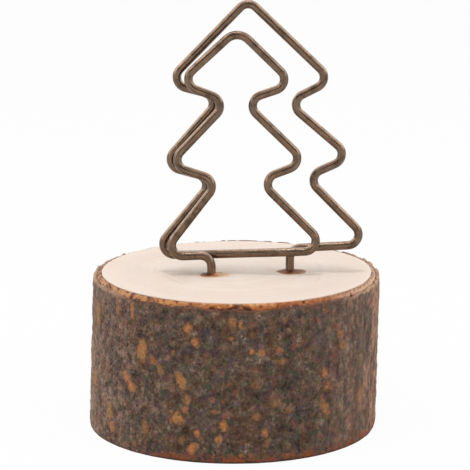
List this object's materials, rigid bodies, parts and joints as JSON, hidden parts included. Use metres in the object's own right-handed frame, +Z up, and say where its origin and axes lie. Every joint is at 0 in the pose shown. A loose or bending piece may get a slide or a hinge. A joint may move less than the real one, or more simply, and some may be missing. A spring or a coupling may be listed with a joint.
{
  "type": "wooden photo block holder",
  "caption": "Round branch slice with bark that stands on its sawn face and carries a bent wire clip of nested fir tree outlines that grips a photo or card.",
  "frame": {"origin": "on the surface that the holder stands on, under the middle of its box", "axes": "+Z up, -Y towards the small tree's side, from which the holder is looked at, +X to the right as seen from there"},
  "size_m": [0.0611, 0.0606, 0.0893],
  "materials": {
    "sawn_wood": "sawn and sanded end grain, bare",
    "inner_bark": "fibrous, bare",
    "outer_bark": "rough natural bark",
    "amber_glue": "thin amber adhesive soaked into end grain",
    "bronzed_wire": "antique bronze on steel wire, satin"
  },
  "bodies": {
    "base": {"wood_slice": "sawn_wood", "inner_bark": "inner_bark", "outer_bark": "outer_bark", "left_glue": "amber_glue", "right_glue": "amber_glue", "wire_foot": "bronzed_wire", "back_tree_wire": "bronzed_wire"},
    "small_tree": {"front_tree_wire": "bronzed_wire"}
  },
  "joints": [
    {"name": "clip_spring", "type": "hinge", "parent": "base", "child": "small_tree", "pos_m": [0.00077, -0.0038, 0.0369], "axis": [0.9992, 0, 0.0396], "range_deg": [0, 4], "stiffness_Nm_per_rad": 3}
  ]
}
